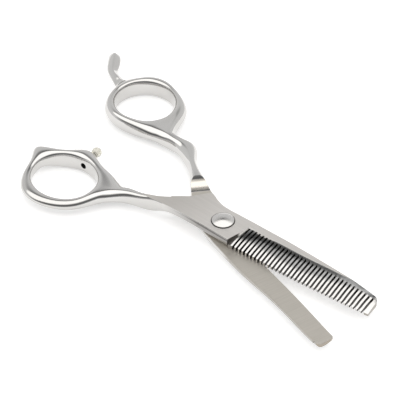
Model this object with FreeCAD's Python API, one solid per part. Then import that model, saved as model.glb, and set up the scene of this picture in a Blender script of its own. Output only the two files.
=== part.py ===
import FreeCAD, Part
import math
import os

V = FreeCAD.Vector

# Thinning shears, millimetres, +Z up, resting flat on z = 0.
# Origin: the pivot axis at table height.  +X: the line that halves the open blades.
# Each half is drawn where it lies with the shears closed, then turned open about Z.

# ---------------------------------------------------------------- opening and heights
OPEN_ANGLE = 17.3          # between the two halves, from closed
HALF_OPEN = OPEN_ANGLE / 2
RIDE = 4.2                 # height of the ground inner face of the plain half
RIDE_GAP = 0.03            # running gap between the two inner faces
TOP = 8.0                  # height of the ground outer face of the toothed half
UNDER = 0.9                # underside of the plain half at the pivot

# ---------------------------------------------------------------- pivot stack
HEAD_R = 4.05              # domed head of the pivot bolt
HEAD_RIM = 0.25
DOME_H = 1.25
RECESS_R = 4.2             # shallow seat of the head in the toothed half
RECESS_D = 0.15
SHANK_R = 2.5              # keyed part of the bolt, two flats
KEY_ACROSS = 4.2
JOURNAL_R = 2.2            # plain part that turns in the bush
THREAD_R = 1.95
THREAD_FLAT = 1.55         # flat that keys the click plate
BUSH_R = 3.2
BUSH_FIT = 0.04            # radial running clearance, journal to bush
BUSH_LIP_R = 3.7
SEAT_R = 4.0               # counterbore for the washers and the nut
SEAT_Z = 2.3
SLIP_Z = (2.0, 2.3)
SPRING_Z = (1.52, 1.98)
SPRING_T = 0.22
CLICK_Z = (1.24, 1.5)
NUT_R = 3.8
NUT_Z = (0.0, 1.22)
NUT_CAP = 0.42             # closed floor under the thread
NUT_NOTCHES = 16
KEY_SLOT_FROM = 1.3

# ---------------------------------------------------------------- toothed blade
SEAM_T = -22.0             # weld plane between toothed blade and thumb handle
TOOTH_X0 = 9.7             # centre of the first slot
TOOTH_PITCH = 1.52
TOOTH_SLOTS = 35
SLOT_W = 0.78
ROOT_Y = (2.9, 3.6)        # slot roots, first and last
TIP_ROUND = 0.22
HOLLOW_SAG = 0.33          # bulge of the ground tooth face

# ---------------------------------------------------------------- plain half, step
STEP_DIR = 66.0            # direction of the cove across the shank
SEAM_P = -25.6             # weld plane, measured square to the cove
STEP_PROFILE = [           # distance past the weld plane, height over the ride face
    (-1.4, 4.6), (-0.75, 3.1), (-0.3, 2.25), (0.0, 1.84), (0.5, 1.3),
    (1.1, 0.85), (1.9, 0.5), (3.0, 0.24), (5.0, 0.0),
]

# ---------------------------------------------------------------- bumper
BUMP_AT = (-60.6, -7.0)    # where the bumper bore breaks into the thumb hole
BUMP_TO = (-62.5, 2.7)     # centre of the bumper ball
BUMP_Z = 3.7
BUMP_BORE_R = 1.15
BALL_R = 1.9
BALL_AT = math.dist(BUMP_AT, BUMP_TO)      # distances along the bumper from the bore mouth
COLLAR_R = 1.3
COLLAR_AT = 7.8
STUD_R = 1.1
STUD_AT = 2.0
PIN_R = 0.6
PIN_END = 9.3

# ---------------------------------------------------------------- how square the sections are
RING_IN = 0.21             # inner lip of a ring, above
RING_FOOT = 0.12           # inner lip of a ring, below: nearly sharp
RING_TOP = 0.30            # outside of a ring, above
RING_OUT = 0.40            # outside of a ring, below: full round
SPAR_ROUND = 0.28
REST_ROUND = 0.42
THUMB_MIDS = 1             # extra control points across the top and bottom of each shank
FINGER_MIDS = 2
REST_MIDS = 1


def turned(shape, angle):
    out = shape.copy()
    out.rotate(V(0, 0, 0), V(0, 0, 1), angle)
    return out


def toothed(shape):
    return turned(shape, HALF_OPEN)


def plain(shape):
    return turned(shape, -HALF_OPEN)


def disc(r, z0, z1, x=0.0, y=0.0):
    return Part.makeCylinder(r, z1 - z0, V(x, y, z0))


def slab(points, z0, z1):
    """Prism from a closed run of straight edges given in plan."""
    ring = [V(x, y, z0) for x, y in points]
    face = Part.Face(Part.makePolygon(ring + ring[:1]))
    return face.extrude(V(0, 0, z1 - z0))


def cage_row(inner, outer, z0, z1, k_in, k_top, k_low, k_foot, mids=0):
    """Control points round an upright section standing on the line inner to outer."""
    x, y = inner
    dx = outer[0] - x
    dy = outer[1] - y
    h = z1 - z0
    steps = [i / (mids + 1) for i in range(mids + 2)]
    corners = [(0, z0 + k_foot * h), (0, z1 - k_in * h)]
    corners += [(k_in + (1 - k_in - k_top) * s, z1) for s in steps]
    corners += [(1, z1 - k_top * h), (1, z0 + k_low * h)]
    corners += [(k_foot + (1 - k_foot - k_low) * s, z0) for s in reversed(steps)]
    return [V(x + dx * s, y + dy * s, z) for s, z in corners]


def through(rows):
    """Control rows of the closed uniform cubic that passes through the given rows."""
    n = len(rows)
    poles = [list(row) for row in rows]
    for sweep in range(12):
        for i in range(n):
            before, after = poles[i - 1], poles[(i + 1) % n]
            poles[i] = [(q * 6 - p - r) * 0.25 for p, q, r in zip(before, rows[i], after)]
    return poles


def ellipse_point(hole, angle):
    cx, cy, a, b, turn = hole
    t = math.radians(angle)
    k = math.radians(turn)
    x = a * math.cos(t)
    y = b * math.sin(t)
    return (cx + x * math.cos(k) - y * math.sin(k), cy + x * math.sin(k) + y * math.cos(k))


def ring(hole, stations):
    """Closed finger ring: hole ellipse inside, free outer line, height set per station."""
    rows = [cage_row(ellipse_point(hole, a), (x, y), z0, z1, RING_IN, RING_TOP, RING_OUT, RING_FOOT)
            for a, x, y, z0, z1 in stations]
    poles = through(rows)
    count = len(poles)
    skin = Part.BSplineSurface()
    skin.buildFromPolesMultsKnots(poles, [1] * (count + 1), [1] * 9, list(range(count + 1)), list(range(9)),
                                  True, True, 3, 3)
    solid = Part.Solid(Part.Shell([skin.toShape()]))
    if solid.Volume < 0:
        solid.reverse()
    return solid


def spar(rows, mids, k=SPAR_ROUND):
    """Shank through sections: near x, y, far x, y, bottom, top."""
    cage = [cage_row((xn, yn), (xf, yf), z0, z1, k, k, k, k, mids)
            for xn, yn, xf, yf, z0, z1 in rows]
    count = len(cage[0])
    half = count // 2
    along = [0.0]
    for before, after in zip(cage, cage[1:]):
        step = (after[0] + after[half] - before[0] - before[half]).Length / 2
        along.append(along[-1] + step)
    columns = []
    for k in range(count):
        line = Part.BSplineCurve()
        line.interpolate(Points=[row[k] for row in cage], Parameters=along)
        columns.append(line)
    poles = [list(row) for row in zip(*[line.getPoles() for line in columns])]
    skin = Part.BSplineSurface()
    skin.buildFromPolesMultsKnots(poles, columns[0].getMultiplicities(), [1] * (count + 1),
                                  columns[0].getKnots(), list(range(count + 1)), False, True, 3, 3)
    ends = [Part.Face(Part.Wire(skin.uIso(u).toShape())) for u in (along[0], along[-1])]
    shell = Part.Shell([skin.toShape()] + ends)
    shell.sewShape()
    solid = Part.Solid(shell)
    if solid.Volume < 0:
        solid.reverse()
    return solid


# hole: centre x, y, half length, half width, turn
THUMB_HOLE = (-60.2, -16.8, 12.5, 10.6, 3.0)
THUMB_RING = [
    # angle, outer x, outer y, bottom, top
    (210, -74.1, -23.6, 1.5, 6.2),
    (240, -68.6, -30.1, 1.4, 5.9),
    (270, -60.0, -32.0, 1.5, 5.8),
    (300, -51.5, -29.2, 1.6, 5.8),
    (330, -46.2, -24.0, 1.4, 6.0),
    (357, -43.6, -18.0, 1.0, 6.6),
    (22, -43.6, -12.0, 0.9, 6.8),
    (42, -46.9, -5.6, 0.5, 7.2),
    (60, -52.6, -3.4, 0.2, 7.4),
    (78, -58.2, -1.1, 0.06, 7.6),
    (94, -63.1, 0.4, 0.06, 7.6),
    (110, -66.8, -2.2, 0.06, 7.5),
    (126, -70.2, -5.4, 0.2, 7.4),
    (145, -75.7, -8.0, 0.8, 7.4),
    (163, -80.3, -11.2, 1.6, 7.4),
    (181, -76.9, -17.1, 1.7, 6.9),
]
# near x, y, far x, y, bottom, top
THUMB_SHANK = [
    (-45.6, -18.5, -48.5, -8.4, 2.2, 5.6),
    (-43.4, -17.2, -45.2, -6.6, 1.7, 6.3),
    (-41.6, -15.6, -41.8, -6.1, 1.3, 6.8),
    (-38.0, -12.1, -38.0, -5.8, 1.2, 7.0),
    (-34.0, -10.0, -34.0, -5.6, 1.2, 7.3),
    (-30.0, -9.0, -30.0, -5.3, 1.4, 7.9),
    (-26.0, -7.9, -26.0, -4.3, 2.0, 8.8),
    (-22.0, -7.2, -22.0, -1.7, 3.2, 9.5),
    (-16.0, -6.7, -16.0, 1.5, 3.4, 9.9),
    (-6.0, -6.6, -6.0, 1.5, 3.4, 9.9),
    (9.0, -6.9, 9.0, 1.5, 3.4, 9.9),
]
FINGER_HOLE = (-74.6, 13.05, 11.6, 11.15, 0.0)
FINGER_RING = [
    (-8, -57.2, 10.6, 0.2, 7.0),
    (12, -57.5, 15.2, 0.2, 6.8),
    (32, -58.8, 19.6, 0.1, 7.2),
    (52, -62.7, 24.4, 0.06, 7.4),
    (70, -68.7, 26.6, 0.06, 7.4),
    (90, -75.2, 27.3, 0.06, 7.4),
    (110, -80.9, 27.2, 0.06, 7.4),
    (130, -85.7, 25.1, 0.06, 7.4),
    (148, -88.4, 21.1, 0.06, 7.4),
    (170, -89.4, 14.8, 0.06, 7.4),
    (192, -88.9, 8.8, 0.06, 7.4),
    (214, -86.5, 3.9, 0.06, 7.4),
    (240, -81.6, -0.6, 0.06, 7.4),
    (268, -74.8, -2.1, 0.06, 7.4),
    (292, -67.8, -0.5, 0.06, 7.4),
    (316, -60.6, 2.7, 0.1, 7.4),
    (336, -56.9, 5.8, 0.2, 7.3),
]
FINGER_SHANK = [
    (-60.0, 4.6, -60.0, 18.2, 0.7, 6.8),
    (-57.0, 5.3, -57.0, 16.8, 0.5, 7.0),
    (-54.0, 6.4, -54.0, 14.2, 0.4, 7.2),
    (-50.0, 8.0, -50.0, 13.4, 0.4, 7.1),
    (-47.0, 8.8, -47.0, 14.6, 0.5, 7.0),
    (-44.5, 8.9, -44.5, 15.9, 0.5, 7.0),
    (-41.5, 8.6, -41.5, 15.6, 0.5, 7.0),
    (-38.0, 7.9, -38.0, 13.6, 0.6, 7.0),
    (-35.0, 7.2, -35.0, 11.5, 0.6, 7.0),
    (-32.0, 6.0, -32.0, 10.2, 0.6, 7.1),
    (-29.0, 4.5, -29.0, 9.4, 0.6, 7.3),
    (-25.0, 2.4, -25.0, 8.7, 0.7, 7.3),
    (-20.0, -0.4, -20.0, 7.6, 0.8, 7.3),
    (-14.0, -4.0, -14.0, 7.0, 0.8, 6.6),
    (-8.0, -6.2, -8.0, 6.7, 0.8, 6.6),
    (-1.0, -6.8, -1.0, 6.2, 0.8, 6.6),
    (6.0, -6.5, 6.0, 5.0, 1.0, 6.6),
    (14.0, -5.4, 14.0, 2.2, 1.6, 6.4),
    (24.0, -3.6, 24.0, 0.0, 2.7, 6.2),
]
FINGER_REST = [
    (-87.0, 9.0, -86.6, 19.0, 1.4, 6.2),
    (-91.6, 9.8, -91.4, 16.4, 1.5, 5.9),
    (-94.9, 10.6, -95.1, 14.9, 1.8, 5.6),
    (-99.5, 11.5, -98.7, 15.0, 1.9, 5.5),
    (-103.6, 13.0, -101.3, 17.1, 1.9, 5.6),
    (-107.7, 15.6, -104.2, 19.5, 1.8, 5.7),
    (-110.5, 17.8, -107.1, 21.2, 1.9, 5.6),
    (-111.6, 19.3, -109.1, 21.6, 2.8, 4.6),
]
# ground tooth face: x, upper line y, z, tip line y, z
HOLLOW = [
    (2.0, 2.8, 8.0, -6.5, 6.1),
    (12.0, 3.05, 8.0, -6.1, 5.9),
    (20.0, 3.3, 8.0, -5.6, 5.75),
    (28.0, 3.65, 8.0, -5.15, 5.62),
    (36.0, 4.0, 8.0, -4.7, 5.5),
    (43.0, 4.5, 8.0, -4.1, 5.42),
    (49.0, 5.05, 8.0, -3.6, 5.36),
    (53.0, 5.05, 7.8, -3.25, 5.3),
    (57.0, 4.9, 7.4, -2.9, 5.25),
    (61.0, 4.7, 6.8, -2.6, 5.2),
    (65.0, 4.5, 6.1, -2.3, 5.15),
]
# plain blade: x, edge y, edge land, lowest z, back y, back land
PLAIN_BLADE = [
    (-6.0, 5.6, 1.7, 1.2, -5.4, 1.7),
    (4.0, 5.4, 1.8, 0.9, -6.6, 2.0),
    (12.0, 2.9, 0.6, 1.1, -6.7, 1.5),
    (22.0, 1.8, 0.3, 1.4, -6.6, 1.2),
    (36.0, 1.95, 0.25, 1.8, -5.5, 1.0),
    (50.0, 1.85, 0.25, 2.1, -5.15, 0.9),
    (65.5, 1.75, 0.25, 2.9, -4.3, 0.8),
]
# nearly square end of the plain blade, small corners
PLAIN_TIP = [
    (61.0, 1.9), (62.4, 1.68), (62.95, 1.4), (63.2, 0.9), (63.25, 0.2), (63.3, -0.9), (63.4, -2.1),
    (63.5, -3.1), (63.5, -3.75), (63.2, -4.25), (62.6, -4.5), (61.0, -4.7),
]


def toothed_plan():
    """Outline of the toothed blade seen from above."""
    near = Part.Arc(V(7.4, -6.3, 0), V(37, -4.65, 0), V(63.5, -2.4, 0)).toShape()
    end = Part.makeLine(V(63.5, -2.4, 0), V(63.0, 2.8, 0))
    corner = Part.Arc(V(63.0, 2.8, 0), V(62.3, 4.1, 0), V(60.6, 4.6, 0)).toShape()
    spine = Part.Arc(V(60.6, 4.6, 0), V(46, 5.35, 0), V(30, 5.95, 0)).toShape()
    back = Part.BSplineCurve()
    back.interpolate([V(30, 5.95, 0), V(12, 6.05, 0), V(2, 5.95, 0), V(-4, 6.0, 0), V(-10.2, 8.1, 0)])
    rest = Part.makePolygon([
        V(-10.2, 8.1, 0), V(-12.5, 8.9, 0), V(-17.1, 2.4, 0), V(SEAM_T, -1.7, 0),
        V(SEAM_T, -5.0, 0), V(7.4, -5.0, 0), V(7.4, -6.3, 0),
    ])
    return Part.Wire([near, end, corner, spine, back.toShape()] + rest.Edges)


def hollow_section(x, y_up, z_up, y_tip, z_tip):
    """One section of the tool that grinds the tooth face, open to the sky."""
    a = V(x, y_up, z_up)
    b = V(x, y_tip, z_tip)
    chord = b - a
    out = V(0, -chord.z, chord.y).normalize() * -1
    mid = (a + b) * 0.5 + out * HOLLOW_SAG
    lean = math.atan2(a.z - b.z, a.y - b.y)
    spread = 4 * HOLLOW_SAG / chord.Length
    ahead = V(x, y_up + 5, z_up + 5)
    past = V(x, y_tip - 4, z_tip - 4 * math.tan(lean + spread))
    edges = [Part.Arc(a, mid, b).toShape()]
    edges += Part.makePolygon([b, past, V(x, past.y, 13), V(x, ahead.y, 13), ahead, a]).Edges
    return Part.Wire(edges)


def make_toothed_blade():
    thick = TOP - RIDE - RIDE_GAP
    body = Part.Face(toothed_plan()).extrude(V(0, 0, thick))
    body.translate(V(0, 0, RIDE + RIDE_GAP))
    reach = Part.makeBox(7.4 - SEAM_T, 40, thick, V(SEAM_T, -20, RIDE + RIDE_GAP))
    side = spar(THUMB_SHANK, THUMB_MIDS).common(reach)
    body = body.fuse(side).removeSplitter()

    hollow = Part.makeLoft([hollow_section(*row) for row in HOLLOW], True, False)
    behind = slab([(-5, -14), (6.85, -14), (7.4, -6.35), (9.25, 3.0), (9.9, 14), (-5, 14)], -1, 15)
    body = body.cut(hollow.cut(behind))

    slots = []
    for i in range(TOOTH_SLOTS):
        x = TOOTH_X0 + i * TOOTH_PITCH
        y = ROOT_Y[0] + (ROOT_Y[1] - ROOT_Y[0]) * i / (TOOTH_SLOTS - 1) - SLOT_W / 2
        slot = Part.makeBox(SLOT_W, y + 12, 12, V(x - SLOT_W / 2, -12, 0))
        slots.append(slot.fuse(disc(SLOT_W / 2, 0, 12, x, y)))
    body = body.cut(Part.makeCompound(slots))

    tips = []
    for edge in body.Edges:
        low, high = edge.Vertexes[0].Point, edge.Vertexes[-1].Point
        upright = abs(low.x - high.x) < 0.01 and abs(low.y - high.y) < 0.01
        if upright and low.y < -2 and low.x > 9 and min(low.z, high.z) < 4.3:
            tips.append(edge)
    body = body.makeFillet(TIP_ROUND, tips)

    key = disc(SHANK_R + 0.02, 0, 10).common(
        Part.makeBox(2 * SHANK_R + 1, KEY_ACROSS + 0.04, 10, V(-SHANK_R - 0.5, -KEY_ACROSS / 2 - 0.02, 0)))
    body = body.cut(key).cut(disc(RECESS_R, TOP - RECESS_D, TOP + 1))
    return body


def make_thumb_handle():
    body = ring(THUMB_HOLE, THUMB_RING).fuse(spar(THUMB_SHANK, THUMB_MIDS))
    body = body.common(Part.makeBox(84 + SEAM_T, 60, TOP + 1, V(-84, -45, -1)))
    start, ball, axis = bumper_axis()
    bore = Part.makeCylinder(BUMP_BORE_R, 12, start - axis * 2, axis)
    return body.cut(bore).removeSplitter()


def step_side(below):
    """Half space on the handle side (or the blade side) of the weld plane."""
    block = Part.makeBox(80, 120, 20, V(0 if not below else -80, -60, -2))
    block.translate(V(SEAM_P, 0, 0))
    block.rotate(V(0, 0, 0), V(0, 0, 1), STEP_DIR - 90)
    return block


def cove():
    """Tool that leaves the step: a steep concave wall easing out on to the ride face."""
    wall = Part.BSplineCurve()
    wall.interpolate([V(SEAM_P + d, -30, RIDE + z) for d, z in STEP_PROFILE])
    top = 14
    corner = V(wall.StartPoint.x, -30, top)
    run = [wall.EndPoint, V(50, -30, RIDE), V(50, -30, top), corner, wall.StartPoint]
    tool = Part.Face(Part.Wire([wall.toShape()] + Part.makePolygon(run).Edges)).extrude(V(0, 60, 0))
    tool.rotate(V(0, 0, 0), V(0, 0, 1), STEP_DIR - 90)
    return tool


def plain_section(x, edge_y, edge_land, low, back_y, back_land):
    top_edge = V(x, edge_y, RIDE)
    low_edge = V(x, edge_y, RIDE - edge_land)
    low_back = V(x, back_y, RIDE - back_land)
    top_back = V(x, back_y, RIDE)
    belly = V(x, (edge_y + back_y) / 2, low)
    return Part.Wire([
        Part.makeLine(top_edge, low_edge),
        Part.Arc(low_edge, belly, low_back).toShape(),
        Part.makeLine(low_back, top_back),
        Part.makeLine(top_back, top_edge),
    ])


def make_plain_half():
    """Handle and blade of the plain half, split at the weld plane."""
    shank = spar(FINGER_SHANK, FINGER_MIDS).cut(cove())
    rest = spar(FINGER_REST, REST_MIDS, REST_ROUND)
    hole = Part.Ellipse(V(FINGER_HOLE[0], FINGER_HOLE[1], -2), FINGER_HOLE[2], FINGER_HOLE[3])
    clear = Part.Face(Part.Wire(hole.toShape())).extrude(V(0, 0, 12))
    handle = ring(FINGER_HOLE, FINGER_RING).fuse(shank.common(step_side(True))).fuse(rest.cut(clear))

    blade = Part.makeLoft([plain_section(*row) for row in PLAIN_BLADE], True, False)
    tip = Part.BSplineCurve()
    tip.interpolate([V(x, y, 0) for x, y in PLAIN_TIP])
    (x0, y0), (x1, y1) = PLAIN_TIP[0], PLAIN_TIP[-1]
    around = [(x1, y1), (x1, -9), (-12, -9), (-12, 9), (x0, 9), (x0, y0)]
    frame = Part.makePolygon([V(x, y, 0) for x, y in around])
    keep = Part.Face(Part.Wire([tip.toShape()] + frame.Edges)).extrude(V(0, 0, 8))
    blade = blade.common(keep)
    blade = blade.fuse(shank.common(step_side(False))).fuse(disc(5.2, UNDER, RIDE))
    blade = blade.cut(disc(BUSH_R, -1, 6)).cut(disc(SEAT_R, -1, SEAT_Z))
    return handle.removeSplitter(), blade.removeSplitter()


def make_bolt():
    cap_r = (HEAD_R ** 2 + DOME_H ** 2) / (2 * DOME_H)
    base = TOP - RECESS_D
    rim = base + HEAD_RIM + RECESS_D
    ball = Part.makeSphere(cap_r, V(0, 0, rim + DOME_H - cap_r))
    dome = ball.common(disc(HEAD_R, rim, rim + 2))
    keyed = disc(SHANK_R, RIDE + 0.2, base).common(
        Part.makeBox(2 * SHANK_R, KEY_ACROSS, 10, V(-SHANK_R, -KEY_ACROSS / 2, 0)))
    thread = disc(THREAD_R, NUT_CAP + 0.08, SEAT_Z).common(
        Part.makeBox(8, 8, 10, V(-4, -8 + THREAD_FLAT, 0)))
    bolt = disc(HEAD_R, base, rim).fuse(dome).fuse(keyed).fuse(disc(JOURNAL_R, SEAT_Z, RIDE + 0.2))
    return bolt.fuse(thread).removeSplitter()


def make_bush():
    sleeve = disc(BUSH_R, SEAT_Z, RIDE)
    return sleeve.cut(disc(JOURNAL_R + BUSH_FIT, 0, 6))


def make_slip_washer():
    return disc(BUSH_LIP_R, *SLIP_Z).cut(disc(THREAD_R + 0.15, 0, 6))


def make_spring_washer():
    """Dished washer: a thin cone ring, high at the bore, low at the rim."""
    bore = THREAD_R + 0.15
    low, high = SPRING_Z
    points = [V(bore, 0, high - SPRING_T), V(BUSH_LIP_R, 0, low)]
    points += [V(BUSH_LIP_R, 0, low + SPRING_T), V(bore, 0, high)]
    face = Part.Face(Part.makePolygon(points + points[:1]))
    return face.revolve(V(0, 0, 0), V(0, 0, 1), 360)


def make_click_plate():
    """Thin plate keyed to the flat on the bolt, dimpled where the nut notches click."""
    hole = disc(THREAD_R + 0.05, 0, 6).common(Part.makeBox(8, 8, 6, V(-4, -8 + THREAD_FLAT + 0.05, 0)))
    plate = disc(BUSH_LIP_R, *CLICK_Z).cut(hole)
    for k in range(4):
        a = math.radians(45 + 90 * k)
        plate = plate.cut(disc(0.3, 0, 6, 2.95 * math.cos(a), 2.95 * math.sin(a)))
    return plate


def make_nut():
    """Notched nut, closed below, with two key slots that stop short of its middle."""
    low, high = NUT_Z
    nut = disc(NUT_R, low, high).cut(disc(THREAD_R + 0.03, low + NUT_CAP, high + 1))
    nut = nut.makeChamfer(0.15, [e for e in nut.Edges if e.Length > 20])
    for k in range(NUT_NOTCHES):
        a = 2 * math.pi * k / NUT_NOTCHES
        nut = nut.cut(disc(0.28, low - 0.1, high + 0.1, NUT_R * math.cos(a), NUT_R * math.sin(a)))
    for side in (-NUT_R, KEY_SLOT_FROM):
        nut = nut.cut(Part.makeBox(NUT_R - KEY_SLOT_FROM, 0.9, 0.3, V(side, -0.45, low - 0.01)))
    return nut


def bumper_axis():
    start = V(BUMP_AT[0], BUMP_AT[1], BUMP_Z)
    ball = V(BUMP_TO[0], BUMP_TO[1], BUMP_Z)
    return start, ball, (ball - start).normalize()


def make_bumper_head():
    """Clear ball moulded with a short collar, drilled for the pin of its stud."""
    start, ball, axis = bumper_axis()
    collar = Part.makeCylinder(COLLAR_R, BALL_AT - COLLAR_AT, start + axis * COLLAR_AT, axis)
    pin = Part.makeCylinder(PIN_R, PIN_END - COLLAR_AT, start + axis * COLLAR_AT, axis)
    return Part.makeSphere(BALL_R, ball).fuse(collar).cut(pin).removeSplitter()


def make_bumper_stud():
    """Metal stud: screwed into the bore, with a thin pin up inside the ball."""
    start, ball, axis = bumper_axis()
    foot = start + axis * STUD_AT
    body = Part.makeCylinder(STUD_R, COLLAR_AT - STUD_AT, foot, axis)
    pin = Part.makeCylinder(PIN_R, PIN_END - STUD_AT, foot, axis)
    return body.fuse(pin).removeSplitter()


os.makedirs("parts", exist_ok=True)
finger_handle, plain_blade = make_plain_half()
nodes = {
    "toothed_blade": toothed(make_toothed_blade()),
    "thumb_handle": toothed(make_thumb_handle()),
    "plain_blade": plain(plain_blade),
    "finger_handle": plain(finger_handle),
    "pivot_bolt": toothed(make_bolt()),
    "pivot_bush": plain(make_bush()),
    "slip_washer": plain(make_slip_washer()),
    "spring_washer": toothed(make_spring_washer()),
    "click_plate": toothed(make_click_plate()),
    "tension_nut": toothed(make_nut()),
    "bumper_head": toothed(make_bumper_head()),
    "bumper_stud": toothed(make_bumper_stud()),
}
for name, built in nodes.items():
    shape = built.Solids[0]
    shape.exportStep("parts/" + name + ".step")
    box = shape.BoundBox
    size = (box.XMin, box.XMax, box.YMin, box.YMax, box.ZMin, box.ZMax)
    print("%-14s valid %s solids %d" % (name, shape.isValid(), len(built.Solids)), end="  ")
    print("x %.2f %.2f  y %.2f %.2f  z %.2f %.2f" % size, end="  ")
    print("vol %.1f" % shape.Volume)
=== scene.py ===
import math

import bmesh
import bpy
from mathutils import Matrix, Vector


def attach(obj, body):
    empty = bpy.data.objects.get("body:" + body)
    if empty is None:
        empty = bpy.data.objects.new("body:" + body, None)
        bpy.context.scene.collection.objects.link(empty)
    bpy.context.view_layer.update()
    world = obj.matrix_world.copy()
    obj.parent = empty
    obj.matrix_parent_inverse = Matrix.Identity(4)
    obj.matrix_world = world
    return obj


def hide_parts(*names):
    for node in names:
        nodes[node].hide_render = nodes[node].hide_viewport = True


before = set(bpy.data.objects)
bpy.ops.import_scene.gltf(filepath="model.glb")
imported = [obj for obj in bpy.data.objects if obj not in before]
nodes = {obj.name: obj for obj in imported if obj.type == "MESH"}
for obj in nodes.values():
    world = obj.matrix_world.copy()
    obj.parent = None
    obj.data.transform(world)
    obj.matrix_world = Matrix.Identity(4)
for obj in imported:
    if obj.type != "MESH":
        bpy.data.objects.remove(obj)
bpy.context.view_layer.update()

MM = 0.001
HALF_OPEN = math.radians(8.65)     # each half is turned this far from the closed line
RIDE = 4.2                         # inner face of the plain half, mm
TOP = 8.0                          # outer face of the toothed half, mm
BUMP_AT = (-60.6, -7.0)            # mouth of the bumper bore in the thumb hole
BUMP_TO = (-62.5, 2.7)             # centre of the bumper ball
BUMP_Z = 3.7
BUMP_BORE_R = 1.15
DRILL = (-2.0, 10.0)               # run of the drill from the mouth of the bore
SEAM_T = -22.0                     # weld plane of the toothed half
STEP_DIR = math.radians(66.0)      # direction of the step across the plain half
SEAM_P = -25.6                     # weld plane of the plain half, square to the step
STEP_PROFILE = [                   # distance past the weld plane, height over the ride face
    (-1.4, 4.6), (-0.75, 3.1), (-0.3, 2.25), (0.0, 1.84), (0.5, 1.3),
]
RING_IN = 0.21                     # corners of a ring section: inner lip, above
RING_FOOT = 0.12                   # inner lip, below
RING_TOP = 0.30                    # outside, above
RING_OUT = 0.40                    # outside, below
SPAR_ROUND = 0.28                  # corners of a shank, as a share of its section
REST_ROUND = 0.42                  # and of the finger rest
LEVELS = 4                         # subdivision of the handles
CUT_LOW = -4.0                     # the step tool reaches past the plain half, below, above and along
CUT_HIGH = 14.0
CUT_FAR = 40.0
BUMP_DEPTH = 0.00002               # relief of the finishes, m
FLOOR_HALF = 3.0                   # half width of the floor, m
FLOOR_DROP = 0.00005               # it lies just below the lowest faces
POLISH_A = (0.60, 0.59, 0.575)     # colours of the steel: polished, ground, ground ride face
POLISH_B = (0.65, 0.642, 0.63)
GROUND_A = (0.66, 0.64, 0.615)
GROUND_B = (0.74, 0.715, 0.69)
RIDE_A = (0.54, 0.513, 0.465)
RIDE_B = (0.61, 0.58, 0.53)
ROOT_TINT = (0.48, 0.46, 0.43, 1)      # ground flat next to the handle
BORE_SHADE = (0.03, 0.03, 0.03, 1)      # painted shade inside the bumper bore
RIM_SHADE = (0.10, 0.095, 0.09, 1)      # painted shade line on the edge of the pivot head
SLOT_SHADE = (0.055, 0.05, 0.045, 1)    # painted shade in the comb slots and round the seat of the pivot head, held back at the shoulder
NEAR_WALL_SHADE = (0.34, 0.33, 0.32, 1)      # painted shade on the near wall of the toothed blade
EDGE_REFLECTION_LINE = (0.12, 0.115, 0.11, 1)     # and a painted dark reflection line under its upper edge
SHADE = (0.17, 0.175, 0.18, 1)         # painted dark reflection on the tooth faces towards the spine, and along the spine at the comb end
END_SHADE = (0.36, 0.34, 0.31, 1)       # painted shade on the end of the toothed blade
WALL_SHADE = (0.44, 0.42, 0.39, 1)      # painted shade on the side walls of the plain blade
TIP_SHADE = (0.36, 0.32, 0.27, 1)       # warmer painted shade on the end of the plain blade
STEP_TINT = (0.70, 0.66, 0.60, 1)      # cove above the ride face
CLEAR_A = (0.78, 0.76, 0.67)           # bumper
CLEAR_B = (0.86, 0.84, 0.76)
NYLON_A = (0.80, 0.79, 0.75)           # bush and slip washer
NYLON_B = (0.86, 0.85, 0.81)
PANEL_TINT = (1.0, 0.99, 0.975, 1)     # light overhead
PAPER = (0.8, 0.8, 0.8, 1)

# where a finish fades in, m in a closed half: none at the first value, full at the second;
# two ranges mark both ends of it
ROOT_X = (-0.004, -0.020)              # duller ground flat
WELD_X = (-0.033, -0.029)              # ground top of the thumb handle
WELD_Z = (0.0070, 0.0074)
BORE_R = (0.00118, 0.00116)            # painted shade in the bumper bore, from its axis
BORE_X = ((-0.0666, -0.0664), (-0.0555, -0.0557))
BORE_Y = (-0.0085, -0.0083)
RIM_R = (0.00382, 0.00398)             # painted shade on the edge of the pivot head
RIM_Z = (0.0080, 0.0081)
SEAT_R = (0.00425, 0.00421)            # painted shade line round the pivot head
SEAT_Z = (0.0075, 0.0078)
FLAT_Z = (0.00797, 0.00799)            # ground top of the toothed blade
UNDER_Z = (0.0044, 0.0043)             # its ground underside
SIDE_X = ((0.0108, 0.0100), (-0.021, -0.006))
LINE_Z = (0.0070, 0.0074)
FACE_Z = (0.00797, 0.00790)            # tooth faces
SHADE_Y = (-0.0028, -0.0012)
SHADE_X = (0.0085, 0.0105)
SHADE_RUN = 0.034                      # the shade draws back towards the spine from here on
SHADE_DRIFT = 0.22
SPINE_Y = (0.0032, 0.0036)
SPINE_X = ((0.034, 0.040), (0.0622, 0.0612))
END_X = (0.0612, 0.0622)
SLOT_X = ((0.0062, 0.0064), (0.0624, 0.0622))
SLOT_Y = (0.0046, 0.0044)
SHOULDER_X = (0.0099, 0.0097)
SHOULDER_Y = (-0.0022, -0.0010)
RIDE_Z = (0.00426, 0.00421)            # ground ride face of the plain blade
WALL_X = (0.010, 0.014)
TIP_X = (0.0618, 0.0626)
STEP_Z = (0.00428, 0.00434)

# directions across the table: towards the camera, and to its right
FRONT = (0.756, -0.655, 0.0)
RIGHT = (0.655, 0.756, 0.0)
# panel light: where it starts and is full, as distance out over height
PANEL_BACK = (-0.60, -0.48)
PANEL_FRONT = (1.0, 0.5)
PANEL_SIDE = (2.2, 1.8)
# greys of the room from the horizon (0) to straight up (1)
WALLS_BEHIND = [(0.0, 0.50), (0.15, 0.50), (0.45, 0.48), (0.64, 0.46), (0.74, 0.25), (0.80, 0.12),
                (1.0, 0.15)]
WALLS_FRONT = [(0.0, 0.42), (0.12, 0.30), (0.27, 0.12), (0.50, 0.08), (0.72, 0.2), (1.0, 0.33)]
CAMERA_AT = (307.5, -276.9, 373.2)     # mm
CAMERA_AIM = (-13.37, 1.09, 8.0)

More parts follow.
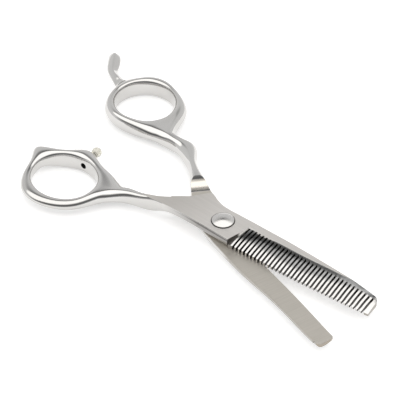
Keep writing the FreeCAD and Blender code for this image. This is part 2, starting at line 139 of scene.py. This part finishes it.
# ---------------------------------------------------------------- outlines of the handles, mm
# hole: centre x, y, half length, half width, turn
THUMB_HOLE = (-60.2, -16.8, 12.5, 10.6, 3.0)
THUMB_RING = [
    # angle, outer x, outer y, bottom, top
    (210, -74.1, -23.6, 1.5, 6.2),
    (240, -68.6, -30.1, 1.4, 5.9),
    (270, -60.0, -32.0, 1.5, 5.8),
    (300, -51.5, -29.2, 1.6, 5.8),
    (330, -46.2, -24.0, 1.4, 6.0),
    (357, -43.6, -18.0, 1.0, 6.6),
    (22, -43.6, -12.0, 0.9, 6.8),
    (42, -46.9, -5.6, 0.5, 7.2),
    (60, -52.6, -3.4, 0.2, 7.4),
    (78, -58.2, -1.1, 0.06, 7.6),
    (94, -63.1, 0.4, 0.06, 7.6),
    (110, -66.8, -2.2, 0.06, 7.5),
    (126, -70.2, -5.4, 0.2, 7.4),
    (145, -75.7, -8.0, 0.8, 7.4),
    (163, -80.3, -11.2, 1.6, 7.4),
    (181, -76.9, -17.1, 1.7, 6.9),
]
# near x, y, far x, y, bottom, top
THUMB_SHANK = [
    (-41.6, -15.6, -41.8, -6.1, 1.3, 6.8),
    (-38.0, -12.1, -38.0, -5.8, 1.2, 7.0),
    (-34.0, -10.0, -34.0, -5.6, 1.2, 7.3),
    (-30.0, -9.0, -30.0, -5.3, 1.4, 7.9),
    (-26.0, -7.9, -26.0, -4.3, 2.0, 8.8),
    (-22.0, -7.2, -22.0, -1.7, 3.2, 9.5),
    (-16.0, -6.7, -16.0, 1.5, 3.4, 9.9),
    (-6.0, -6.6, -6.0, 1.5, 3.4, 9.9),
    (9.0, -6.9, 9.0, 1.5, 3.4, 9.9),
]
FINGER_HOLE = (-74.6, 13.05, 11.6, 11.15, 0.0)
FINGER_RING = [
    (-8, -57.2, 10.6, 0.2, 7.0),
    (12, -57.5, 15.2, 0.2, 6.8),
    (32, -58.8, 19.6, 0.1, 7.2),
    (52, -62.7, 24.4, 0.06, 7.4),
    (70, -68.7, 26.6, 0.06, 7.4),
    (90, -75.2, 27.3, 0.06, 7.4),
    (110, -80.9, 27.2, 0.06, 7.4),
    (130, -85.7, 25.1, 0.06, 7.4),
    (148, -88.4, 21.1, 0.06, 7.4),
    (170, -89.4, 14.8, 0.06, 7.4),
    (192, -88.9, 8.8, 0.06, 7.4),
    (214, -86.5, 3.9, 0.06, 7.4),
    (240, -81.6, -0.6, 0.06, 7.4),
    (268, -74.8, -2.1, 0.06, 7.4),
    (292, -67.8, -0.5, 0.06, 7.4),
    (316, -60.6, 2.7, 0.1, 7.4),
    (336, -56.9, 5.8, 0.2, 7.3),
]
FINGER_SHANK = [
    (-54.0, 6.4, -54.0, 14.2, 0.4, 7.2),
    (-50.0, 8.0, -50.0, 13.4, 0.4, 7.1),
    (-47.0, 8.8, -47.0, 14.6, 0.5, 7.0),
    (-44.5, 8.9, -44.5, 15.9, 0.5, 7.0),
    (-41.5, 8.6, -41.5, 15.6, 0.5, 7.0),
    (-38.0, 7.9, -38.0, 13.6, 0.6, 7.0),
    (-35.0, 7.2, -35.0, 11.5, 0.6, 7.0),
    (-32.0, 6.0, -32.0, 10.2, 0.6, 7.1),
    (-29.0, 4.5, -29.0, 9.4, 0.6, 7.3),
    (-25.0, 2.4, -25.0, 8.7, 0.7, 7.3),
    (-20.0, -0.4, -20.0, 7.6, 0.8, 7.3),
    (-14.0, -4.0, -14.0, 7.0, 0.8, 6.6),
    (-8.0, -6.2, -8.0, 6.7, 0.8, 6.6),
    (-1.0, -6.8, -1.0, 6.2, 0.8, 6.6),
    (6.0, -6.5, 6.0, 5.0, 1.0, 6.6),
    (14.0, -5.4, 14.0, 2.2, 1.6, 6.4),
    (24.0, -3.6, 24.0, 0.0, 2.7, 6.2),
]
FINGER_REST = [
    (-91.6, 9.8, -91.4, 16.4, 1.5, 5.9),
    (-94.9, 10.6, -95.1, 14.9, 1.8, 5.6),
    (-99.5, 11.5, -98.7, 15.0, 1.9, 5.5),
    (-103.6, 13.0, -101.3, 17.1, 1.9, 5.6),
    (-107.7, 15.6, -104.2, 19.5, 1.8, 5.7),
    (-110.5, 17.8, -107.1, 21.2, 1.9, 5.6),
    (-111.6, 19.3, -109.1, 21.6, 2.8, 4.6),
]
THUMB_OPENING = (5, 7)             # station numbers, counted on round the ring
FINGER_OPENING = (16, 19)
REST_OPENING = (8, 10)


# ---------------------------------------------------------------- mesh helpers
def link(mesh, name):
    piece = bpy.data.objects.new(name, mesh)
    bpy.context.scene.collection.objects.link(piece)
    return piece


def ring_row(inner, outer, z0, z1):
    x, y = inner
    dx = outer[0] - x
    dy = outer[1] - y
    h = z1 - z0
    corners = [
        (0, z0 + RING_FOOT * h), (0, z1 - RING_IN * h), (RING_IN, z1), (1 - RING_TOP, z1),
        (1, z1 - RING_TOP * h), (1, z0 + RING_OUT * h), (1 - RING_OUT, z0), (RING_FOOT, z0),
    ]
    return [Vector((x + dx * s, y + dy * s, z)) for s, z in corners]


def spar_row(ax, ay, bx, by, z0, z1, mids, k):
    """Section from side a to side b, in the order of the loop round an opening."""
    h = z1 - z0
    between = [k + (1 - 2 * k) * i / (mids + 1) for i in range(1, mids + 1)]
    corners = [(k, z1), (0, z1 - k * h), (0, z0 + k * h), (k, z0)]
    corners += [(s, z0) for s in between]
    corners += [(1 - k, z0), (1, z0 + k * h), (1, z1 - k * h), (1 - k, z1)]
    corners += [(s, z1) for s in reversed(between)]
    return [Vector((ax + (bx - ax) * s, ay + (by - ay) * s, z)) for s, z in corners]


def ellipse_point(hole, angle):
    cx, cy, a, b, turn = hole
    t = math.radians(angle)
    k = math.radians(turn)
    x = a * math.cos(t)
    y = b * math.sin(t)
    return (cx + x * math.cos(k) - y * math.sin(k), cy + x * math.sin(k) + y * math.cos(k))


def through_closed(rows):
    """Control rows of the closed cubic that passes through the given rows."""
    poles = [list(row) for row in rows]
    n = len(rows)
    for sweep in range(12):
        for i in range(n):
            before, after = poles[i - 1], poles[(i + 1) % n]
            poles[i] = [(q * 6 - p - r) * 0.25 for p, q, r in zip(before, rows[i], after)]
    return poles


def through_open(first, rows):
    """The same for a run of rows that starts from control points already set."""
    poles = [first] + [list(row) for row in rows]
    for sweep in range(12):
        for i in range(1, len(poles) - 1):
            row = rows[i - 1]
            poles[i] = [(q * 6 - p - r) * 0.25 for p, q, r in zip(poles[i - 1], row, poles[i + 1])]
    return poles[1:]


class Cage:
    """Control mesh of a handle: a ring with arms grown out of openings in its outer wall."""

    def __init__(self, hole, stations):
        self.rows = through_closed([
            ring_row(ellipse_point(hole, a), (x, y), z0, z1) for a, x, y, z0, z1 in stations])
        self.bm = bmesh.new()
        self.verts = [[self.bm.verts.new(p) for p in row] for row in self.rows]
        self.gaps = []

    def vert(self, i, j):
        return self.verts[i % len(self.verts)][j % 8]

    def arm(self, opening, stations, flip=False, k=SPAR_ROUND):
        """Grows a spar out of the outer wall between two stations; flip swaps its near and far sides."""
        a, b = opening
        mids = b - a - 1
        loop = [self.vert(a, j) for j in (3, 4, 5, 6)]
        loop += [self.vert(i, 6) for i in range(a + 1, b)]
        loop += [self.vert(b, j) for j in (6, 5, 4, 3)]
        loop += [self.vert(i, 3) for i in range(b - 1, a, -1)]
        rows = []
        for xn, yn, xf, yf, z0, z1 in stations:
            sides = (xf, yf, xn, yn) if flip else (xn, yn, xf, yf)
            rows.append(spar_row(*sides, z0, z1, mids, k))
        for row in through_open([v.co.copy() for v in loop], rows):
            fresh = [self.bm.verts.new(p) for p in row]
            for k in range(len(loop)):
                m = (k + 1) % len(loop)
                self.bm.faces.new((loop[k], loop[m], fresh[m], fresh[k]))
            loop = fresh
        self.bm.faces.new(loop)
        self.gaps.append(opening)

    def finish(self, name, levels):
        n = len(self.verts)
        cut = {(i % n, j) for a, b in self.gaps for i in range(a, b) for j in (3, 4, 5)}
        for i in range(n):
            for j in range(8):
                if (i, j) not in cut:
                    self.bm.faces.new((self.vert(i, j), self.vert(i, j + 1), self.vert(i + 1, j + 1),
                                       self.vert(i + 1, j)))
        loose = [v for v in self.bm.verts if not v.link_faces]
        bmesh.ops.delete(self.bm, geom=loose, context="VERTS")
        bmesh.ops.recalc_face_normals(self.bm, faces=self.bm.faces)
        mesh = bpy.data.meshes.new(name + "_cage")
        self.bm.to_mesh(mesh)
        self.bm.free()
        piece = link(mesh, name)
        smooth = piece.modifiers.new("smooth", "SUBSURF")
        smooth.levels = levels
        smooth.render_levels = levels
        return baked(piece)


def baked(piece):
    """Applies the modifiers of a piece."""
    graph = bpy.context.evaluated_depsgraph_get()
    mesh = bpy.data.meshes.new_from_object(piece.evaluated_get(graph))
    old = piece.data
    piece.modifiers.clear()
    piece.data = mesh
    bpy.data.meshes.remove(old)
    return piece


def plane_cut(piece, co, no):
    """Cuts away what lies beyond a plane and closes the cut with a flat face of material 1."""
    bm = bmesh.new()
    bm.from_mesh(piece.data)
    everything = bm.verts[:] + bm.edges[:] + bm.faces[:]
    result = bmesh.ops.bisect_plane(
        bm, geom=everything, dist=1e-5, plane_co=co, plane_no=no, clear_outer=True)
    rim = [e for e in result["geom_cut"] if isinstance(e, bmesh.types.BMEdge)]
    for face in bmesh.ops.edgeloop_fill(bm, edges=rim)["faces"]:
        face.material_index = 1
    bm.to_mesh(piece.data)
    bm.free()


def smooth_run(points, steps):
    """Points along the smooth curve through the given points."""
    run = []
    last = len(points) - 1
    for i in range(last):
        p0, p1, p2, p3 = (Vector(points[max(0, min(last, i + k))]) for k in (-1, 0, 1, 2))
        for s in range(steps):
            t = s / steps
            run.append(0.5 * ((2 * p1) + (p2 - p0) * t + (2 * p0 - 5 * p1 + 4 * p2 - p3) * t * t
                              + (3 * p1 - p0 - 3 * p2 + p3) * t ** 3))
    return [tuple(p) for p in run] + [points[-1]]


def cutter(profile, name):
    """Prism square to the step, from a profile given as distance along the shank and height."""
    bm = bmesh.new()
    ends = []
    for across in (-60.0, 60.0):
        ends.append([bm.verts.new((d, across, z)) for d, z in profile])
    n = len(profile)
    for i in range(n):
        j = (i + 1) % n
        bm.faces.new((ends[0][i], ends[0][j], ends[1][j], ends[1][i]))
    bm.faces.new(ends[0])
    bm.faces.new(ends[1])
    bmesh.ops.recalc_face_normals(bm, faces=bm.faces)
    swing = Matrix.Rotation(STEP_DIR - math.pi / 2, 3, "Z")
    bmesh.ops.rotate(bm, verts=bm.verts, cent=(0, 0, 0), matrix=swing)
    mesh = bpy.data.meshes.new(name)
    bm.to_mesh(mesh)
    bm.free()
    return link(mesh, name)


def carve(piece, tool):
    """Takes the tool away from the piece and removes it."""
    cut = piece.modifiers.new("cut", "BOOLEAN")
    cut.operation = "DIFFERENCE"
    cut.solver = "EXACT"
    cut.object = tool
    baked(piece)
    bpy.data.objects.remove(tool)


def rod(start, end, radius, name):
    """Plain cylinder between two points, for drilling."""
    bm = bmesh.new()
    along = end - start
    bmesh.ops.create_cone(
        bm, cap_ends=True, segments=40, radius1=radius, radius2=radius, depth=along.length)
    turn = along.to_track_quat("Z", "Y").to_matrix().to_4x4()
    bmesh.ops.transform(bm, matrix=Matrix.Translation((start + end) / 2) @ turn, verts=bm.verts)
    mesh = bpy.data.meshes.new(name)
    bm.to_mesh(mesh)
    bm.free()
    return link(mesh, name)


def place(piece, angle, sharp=30.0):
    """Turns a finished piece open, brings it to metres and shades it smooth."""
    piece.data.transform(Matrix.Rotation(angle, 4, "Z") @ Matrix.Scale(MM, 4))
    piece.data.shade_smooth()
    piece.data.set_sharp_from_angle(angle=math.radians(sharp))
    return piece


# ---------------------------------------------------------------- materials
class Nodes:
    """Shader nodes of one tree, made and linked by short calls."""

    def __init__(self, tree):
        self.tree = tree

    def feed(self, value, socket):
        """Links an output, or sets a constant, on a socket."""
        if isinstance(value, bpy.types.NodeSocket):
            self.tree.links.new(value, socket)
        else:
            socket.default_value = value

    def math(self, operation, a, b=0.0):
        node = self.tree.nodes.new("ShaderNodeMath")
        node.operation = operation
        self.feed(a, node.inputs[0])
        self.feed(b, node.inputs[1])
        return node.outputs[0]

    def vector(self, operation, a, b):
        node = self.tree.nodes.new("ShaderNodeVectorMath")
        node.operation = operation
        self.feed(a, node.inputs[0])
        self.feed(b, node.inputs[1])
        return node.outputs["Value" if operation == "DOT_PRODUCT" else "Vector"]

    def length(self, a):
        node = self.tree.nodes.new("ShaderNodeVectorMath")
        node.operation = "LENGTH"
        self.feed(a, node.inputs[0])
        return node.outputs["Value"]

    def rise(self, value, low, high):
        """0 below low, 1 above high; swap the two for a fall."""
        node = self.tree.nodes.new("ShaderNodeMapRange")
        self.feed(value, node.inputs["Value"])
        node.inputs["From Min"].default_value = low
        node.inputs["From Max"].default_value = high
        return node.outputs[0]

    def all_of(self, *masks):
        out = masks[0]
        for mask in masks[1:]:
            out = self.math("MULTIPLY", out, mask)
        return out

    def blend(self, mask, a, b, kind="RGBA"):
        """a where the mask is 0, b where it is 1."""
        node = self.tree.nodes.new("ShaderNodeMix")
        node.data_type = kind
        port_type = {"RGBA": "RGBA", "FLOAT": "VALUE"}[kind]
        self.feed(mask, node.inputs[0])
        ports = [p for p in node.inputs if p.type == port_type and p.name in ("A", "B")]
        self.feed(a, ports[0])
        self.feed(b, ports[1])
        return [p for p in node.outputs if p.type == port_type][0]

    def ramp(self, source, stops):
        """Colours or greys along a value."""
        node = self.tree.nodes.new("ShaderNodeValToRGB")
        node.color_ramp.elements[0].position = stops[0][0]
        node.color_ramp.elements[-1].position = stops[-1][0]
        for at, value in stops[1:-1]:
            node.color_ramp.elements.new(at)
        for element, (at, value) in zip(node.color_ramp.elements, stops):
            element.position = at
            element.color = (*value, 1) if isinstance(value, tuple) else (value, value, value, 1)
        self.tree.links.new(source, node.inputs["Fac"])
        return node.outputs["Color"]


class Look(Nodes):
    """Node material in the coordinates of a closed half: x to the tips, y across, metres."""

    def __init__(self, name, turn=0.0):
        self.mat = bpy.data.materials.new(name)
        self.mat.use_nodes = True
        super().__init__(self.mat.node_tree)
        self.shader = self.tree.nodes["Principled BSDF"]
        coords = self.tree.nodes.new("ShaderNodeTexCoord")
        self.place = self.turned(coords.outputs["Object"], turn)
        facing = self.turned(coords.outputs["Normal"], turn)
        self.x, self.y, self.z = self.split(self.place)
        self.nx, self.ny, self.nz = self.split(facing)

    def turned(self, source, turn):
        node = self.tree.nodes.new("ShaderNodeMapping")
        node.inputs["Rotation"].default_value = (0, 0, -turn)
        self.tree.links.new(source, node.inputs["Vector"])
        return node.outputs["Vector"]

    def split(self, source):
        node = self.tree.nodes.new("ShaderNodeSeparateXYZ")
        self.tree.links.new(source, node.inputs["Vector"])
        return [node.outputs[k] for k in "XYZ"]

    def noise(self, scale, detail=3.0):
        """Noise drawn out to the given feature size along x, y, z, metres."""
        node = self.tree.nodes.new("ShaderNodeMapping")
        node.vector_type = "TEXTURE"
        node.inputs["Scale"].default_value = scale
        self.tree.links.new(self.place, node.inputs["Vector"])
        noise = self.tree.nodes.new("ShaderNodeTexNoise")
        noise.inputs["Scale"].default_value = 1.0
        noise.inputs["Detail"].default_value = detail
        self.tree.links.new(node.outputs["Vector"], noise.inputs["Vector"])
        return noise.outputs["Fac"]

    def upright(self):
        """1 on walls, 0 on level faces."""
        return self.rise(self.math("ABSOLUTE", self.nz), 0.5, 0.3)

    def radius(self):
        """Distance from the pivot axis."""
        square_x = self.math("MULTIPLY", self.x, self.x)
        square_y = self.math("MULTIPLY", self.y, self.y)
        return self.math("SQRT", self.math("ADD", square_x, square_y))

    def finish(self, colour, roughness, height=None, strength=0.0, metallic=1.0):
        self.feed(colour, self.shader.inputs["Base Color"])
        self.feed(roughness, self.shader.inputs["Roughness"])
        self.shader.inputs["Metallic"].default_value = metallic
        if height is not None:
            bump = self.tree.nodes.new("ShaderNodeBump")
            bump.inputs["Strength"].default_value = strength
            bump.inputs["Distance"].default_value = BUMP_DEPTH
            self.tree.links.new(height, bump.inputs["Height"])
            self.tree.links.new(bump.outputs["Normal"], self.shader.inputs["Normal"])
        return self.mat


def mirror_parts(look):
    """Colour and roughness of a polished surface."""
    haze = look.noise((0.011, 0.011, 0.011), 4.0)
    tint = look.noise((0.02, 0.02, 0.02), 2.0)
    colour = look.ramp(tint, [(0.3, POLISH_A), (0.7, POLISH_B)])
    return colour, look.ramp(haze, [(0.35, 0.07), (0.7, 0.13)])


def hairlines(look):
    return look.noise((0.004, 0.00006, 0.00006), 2.0)


def ground_parts(look, dark, light, across):
    """Colour, roughness and line height of a ground surface, with the lines along x or across it."""
    fine, long = 0.00005, 0.006
    lines = (fine, long, long) if across else (long, fine, long)
    bands = (0.0005, 0.012, 0.012) if across else (0.02, 0.0006, 0.02)
    grind = look.noise(lines, 3.0)
    narrow = look.math("MULTIPLY", grind, 0.4)
    broad = look.math("MULTIPLY", look.noise(bands, 2.0), 0.6)
    colour = look.ramp(look.math("ADD", narrow, broad), [(0.3, dark), (0.7, light)])
    return colour, look.ramp(grind, [(0.3, 0.42), (0.7, 0.52)]), grind


def flat_parts(look):
    """Ground flat of the toothed half, duller towards its handle."""
    colour, rough, grind = ground_parts(look, GROUND_A, GROUND_B, False)
    root = look.math("MULTIPLY", look.rise(look.x, *ROOT_X), 0.5)
    return look.blend(root, colour, ROOT_TINT), rough, grind


def polished(name, turn):
    look = Look(name, turn)
    colour, rough = mirror_parts(look)
    return look.finish(colour, rough, hairlines(look), 0.02)


def thumb_steel(mouth, bore_dir):
    """Polished, ground on top beside the weld, with painted shade in the bore that starts at mouth, m."""
    look = Look("steel_polished_thumb", HALF_OPEN)
    colour, rough = mirror_parts(look)
    flat, flat_rough = flat_parts(look)[:2]
    top = look.all_of(look.rise(look.nz, 0.95, 0.985), look.rise(look.x, *WELD_X),
                      look.rise(look.z, *WELD_Z))
    colour = look.blend(top, colour, flat)
    rough = look.blend(top, rough, flat_rough, "FLOAT")
    away = look.vector("SUBTRACT", look.place, mouth)
    off_axis = look.length(look.vector("CROSS_PRODUCT", away, bore_dir))
    # painted shade: near black inside the bumper bore
    bore = look.all_of(look.rise(off_axis, *BORE_R), look.rise(look.x, *BORE_X[0]),
                       look.rise(look.x, *BORE_X[1]), look.rise(look.y, *BORE_Y))
    colour = look.blend(bore, colour, BORE_SHADE)
    rough = look.blend(bore, rough, 0.5, "FLOAT")
    return look.finish(colour, rough, hairlines(look), 0.02)


def turned_head():
    """Dome turned on a lathe: fine rings spread every highlight into a fan about the axis."""
    look = Look("steel_pivot_head", HALF_OPEN)
    colour, rough = mirror_parts(look)
    # painted shade: a dark line round the edge of the dome
    rim = look.all_of(look.rise(look.radius(), *RIM_R), look.rise(look.z, *RIM_Z))
    colour = look.blend(rim, colour, RIM_SHADE)
    rough = look.math("ADD", rough, 0.1)
    look.shader.inputs["Anisotropic"].default_value = 0.75
    axis = look.tree.nodes.new("ShaderNodeTangent")
    axis.direction_type = "RADIAL"
    axis.axis = "Z"
    look.tree.links.new(axis.outputs["Tangent"], look.shader.inputs["Tangent"])
    return look.finish(colour, rough)


def ground(name, turn):
    look = Look(name, turn)
    colour, rough, grind = flat_parts(look)
    return look.finish(colour, rough, grind, 0.10)


def toothed_steel():
    """Ground flats, polished teeth with a painted dark reflection towards the spine, painted shade in the
    slots, on the walls and round the pivot seat.
    """
    look = Look("steel_toothed_blade", HALF_OPEN)
    colour, rough = mirror_parts(look)
    flat, flat_rough, grind = flat_parts(look)
    below = look.all_of(look.rise(look.nz, -0.97, -0.99), look.rise(look.z, *UNDER_Z))
    level = look.math("MAXIMUM", look.rise(look.z, *FLAT_Z), below)
    colour = look.blend(level, colour, flat)
    rough = look.blend(level, rough, flat_rough, "FLOAT")

    # painted shade on the near wall, with a painted dark reflection line under its upper edge
    upright = look.upright()
    wall = look.all_of(upright, look.rise(look.ny, -0.6, -0.8), look.rise(look.x, *SIDE_X[0]),
                       look.rise(look.x, *SIDE_X[1]))
    line = look.rise(look.z, *LINE_Z)
    colour = look.blend(wall, colour, look.blend(line, NEAR_WALL_SHADE, EDGE_REFLECTION_LINE))
    rough = look.blend(wall, rough, 0.3, "FLOAT")

    # painted dark reflection on the tooth faces towards the spine and along the spine near the end
    face = look.all_of(look.rise(look.z, *FACE_Z), look.rise(look.nz, 0.5, 0.8))
    past = look.math("MAXIMUM", look.math("SUBTRACT", look.x, SHADE_RUN), 0.0)
    level_y = look.math("SUBTRACT", look.y, look.math("MULTIPLY", past, SHADE_DRIFT))
    shade = look.all_of(face, look.rise(level_y, *SHADE_Y), look.rise(look.x, *SHADE_X))
    spine = look.all_of(face, look.rise(look.y, *SPINE_Y), look.rise(look.x, *SPINE_X[0]),
                        look.rise(look.x, *SPINE_X[1]))
    shade = look.math("MAXIMUM", look.math("MULTIPLY", shade, 0.7), look.math("MULTIPLY", spine, 0.8))
    colour = look.blend(shade, colour, SHADE)
    # painted shade on the end of the toothed blade
    end = look.all_of(upright, look.rise(look.x, *END_X))
    colour = look.blend(end, colour, END_SHADE)
    rough = look.blend(end, rough, 0.3, "FLOAT")

    sideways = look.rise(look.math("ABSOLUTE", look.nx), 0.3, 0.5)
    # painted shade in the comb slots, held back at the shoulder
    slot = look.all_of(upright, sideways, look.rise(look.x, *SLOT_X[0]), look.rise(look.x, *SLOT_X[1]),
                       look.rise(look.y, *SLOT_Y))
    shoulder = look.all_of(look.rise(look.x, *SHOULDER_X), look.rise(look.y, *SHOULDER_Y))
    slot = look.math("MAXIMUM", look.math("SUBTRACT", slot, shoulder), 0.0)
    # painted shade line round the seat of the pivot head
    seat = look.all_of(look.rise(look.radius(), *SEAT_R), look.rise(look.z, *SEAT_Z))
    dark = look.math("MAXIMUM", slot, seat)
    colour = look.blend(dark, colour, SLOT_SHADE)
    rough = look.blend(dark, rough, 0.4, "FLOAT")
    return look.finish(colour, rough, grind, 0.06)


def plain_steel():
    """Ground ride face with cross lines; soft step, dull walls with painted shade, polished belly."""
    look = Look("steel_plain_blade", -HALF_OPEN)
    colour, rough = mirror_parts(look)
    flat, flat_rough, grind = ground_parts(look, RIDE_A, RIDE_B, True)
    ride = look.all_of(look.rise(look.nz, 0.97, 0.99), look.rise(look.z, *RIDE_Z))
    colour = look.blend(ride, colour, flat)
    rough = look.blend(ride, rough, flat_rough, "FLOAT")
    # painted shade on the walls of the plain blade, warmer at its end
    wall = look.all_of(look.upright(), look.rise(look.x, *WALL_X))
    colour = look.blend(wall, colour, WALL_SHADE)
    end = look.all_of(wall, look.rise(look.x, *TIP_X))
    colour = look.blend(end, colour, TIP_SHADE)
    rough = look.blend(wall, rough, 0.3, "FLOAT")
    step = look.all_of(look.rise(look.z, *STEP_Z), look.rise(look.nz, 0.1, 0.3))
    colour = look.blend(step, colour, STEP_TINT)
    rough = look.blend(step, rough, 0.22, "FLOAT")
    return look.finish(colour, rough, grind, 0.08)


def dress(node, mat):
    piece = nodes[node]
    if not piece.material_slots:
        piece.data.materials.append(mat)
    for slot in piece.material_slots:
        slot.material = mat


# ---------------------------------------------------------------- thumb handle
steel_t = polished("steel_polished_toothed", HALF_OPEN)
steel_p = polished("steel_polished_plain", -HALF_OPEN)
ground_t = ground("steel_ground_toothed", HALF_OPEN)

cage = Cage(THUMB_HOLE, THUMB_RING)
cage.arm(THUMB_OPENING, THUMB_SHANK)
thumb = cage.finish("thumb_handle_polished", LEVELS)
plane_cut(thumb, (SEAM_T, 0, 0), (1, 0, 0))
plane_cut(thumb, (0, 0, TOP), (0, 0, 1))
mouth = Vector((*BUMP_AT, BUMP_Z))
bore_dir = (Vector((*BUMP_TO, BUMP_Z)) - mouth).normalized()
drill_from, drill_to = (mouth + bore_dir * d for d in DRILL)
carve(thumb, rod(drill_from, drill_to, BUMP_BORE_R, "bore_tool"))
place(thumb, HALF_OPEN)
thumb.data.materials.clear()
thumb.data.materials.append(thumb_steel(mouth * MM, bore_dir))
thumb.data.materials.append(ground_t)
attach(thumb, "toothed_half")
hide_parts("thumb_handle")

# ---------------------------------------------------------------- finger handle
cage = Cage(FINGER_HOLE, FINGER_RING)
cage.arm(FINGER_OPENING, FINGER_SHANK)
cage.arm(REST_OPENING, FINGER_REST, flip=True, k=REST_ROUND)
finger = cage.finish("finger_handle_polished", LEVELS)
profile = [(SEAM_P + STEP_PROFILE[0][0], CUT_HIGH)]
profile += [(SEAM_P + d, RIDE + z) for d, z in smooth_run(STEP_PROFILE, 8) if d < 0]
profile += [(SEAM_P, RIDE + dict(STEP_PROFILE)[0.0]), (SEAM_P, CUT_LOW), (CUT_FAR, CUT_LOW),
            (CUT_FAR, CUT_HIGH)]
carve(finger, cutter(profile, "step_tool"))
place(finger, -HALF_OPEN)
finger.data.materials.clear()
finger.data.materials.append(steel_p)
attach(finger, "plain_half")
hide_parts("finger_handle")

# ---------------------------------------------------------------- blades and fittings
dress("toothed_blade", toothed_steel())
dress("plain_blade", plain_steel())
dress("pivot_bolt", turned_head())
dress("tension_nut", steel_t)
dress("bumper_stud", steel_t)
dress("spring_washer", ground_t)
dress("click_plate", ground_t)

look = Look("bumper_clear")
haze = look.noise((0.0012, 0.0012, 0.0012))
look.shader.inputs["Transmission Weight"].default_value = 0.6
look.shader.inputs["IOR"].default_value = 1.49
dress("bumper_head", look.finish(look.ramp(haze, [(0.3, CLEAR_A), (0.7, CLEAR_B)]),
                                 look.ramp(haze, [(0.3, 0.08), (0.7, 0.2)]), metallic=0.0))

look = Look("nylon")
grain = look.noise((0.0003, 0.0003, 0.0003))
nylon = look.finish(look.ramp(grain, [(0.3, NYLON_A), (0.7, NYLON_B)]),
                    look.ramp(grain, [(0.3, 0.4), (0.7, 0.6)]), metallic=0.0)
dress("pivot_bush", nylon)
dress("slip_washer", nylon)

# ---------------------------------------------------------------- floor, light, camera
bm = bmesh.new()
bmesh.ops.create_grid(bm, x_segments=1, y_segments=1, size=FLOOR_HALF)
mesh = bpy.data.meshes.new("floor")
bm.to_mesh(mesh)
bm.free()
floor = link(mesh, "floor")
floor.location.z = -FLOOR_DROP
look = Look("paper")
look.shader.inputs["Specular IOR Level"].default_value = 0.0
look.shader.inputs["Emission Color"].default_value = (1.0, 1.0, 1.0, 1)
look.shader.inputs["Emission Strength"].default_value = 0.4
floor.data.materials.append(look.finish(PAPER, 0.9, metallic=0.0))

# a wide panel light overhead, grey walls behind, and on the camera's side a room darkest halfway up
world = bpy.data.worlds.new("studio")
world.use_nodes = True
bpy.context.scene.world = world
sky = Nodes(world.node_tree)
ray = sky.tree.nodes.new("ShaderNodeTexCoord").outputs["Generated"]
up = sky.vector("DOT_PRODUCT", ray, (0.0, 0.0, 1.0))
front = sky.vector("DOT_PRODUCT", ray, FRONT)
side = sky.vector("DOT_PRODUCT", ray, RIGHT)
height = sky.math("MAXIMUM", up, 0.05)
deep = sky.math("DIVIDE", front, height)
wide = sky.math("ABSOLUTE", sky.math("DIVIDE", side, height))
panel = sky.all_of(sky.rise(deep, *PANEL_BACK), sky.rise(deep, *PANEL_FRONT), sky.rise(wide, *PANEL_SIDE))
walls = sky.blend(sky.rise(front, 0.05, 0.35), sky.ramp(up, WALLS_BEHIND), sky.ramp(up, WALLS_FRONT))
background = sky.tree.nodes["Background"]
sky.feed(sky.blend(panel, walls, PANEL_TINT), background.inputs["Color"])
background.inputs["Strength"].default_value = 1.65

camera_data = bpy.data.cameras.new("camera")
camera_data.sensor_width = 36.0
camera_data.lens = 144.0
camera_data.clip_start = 0.01
camera_data.clip_end = 20.0
camera = bpy.data.objects.new("camera", camera_data)
bpy.context.scene.collection.objects.link(camera)
camera.location = Vector(CAMERA_AT) * MM
aim = Vector(CAMERA_AIM) * MM - camera.location
camera.rotation_euler = aim.to_track_quat("-Z", "Y").to_euler()
bpy.context.scene.camera = camera
bpy.context.scene.view_settings.view_transform = "Standard"
bpy.context.scene.view_settings.look = "None"
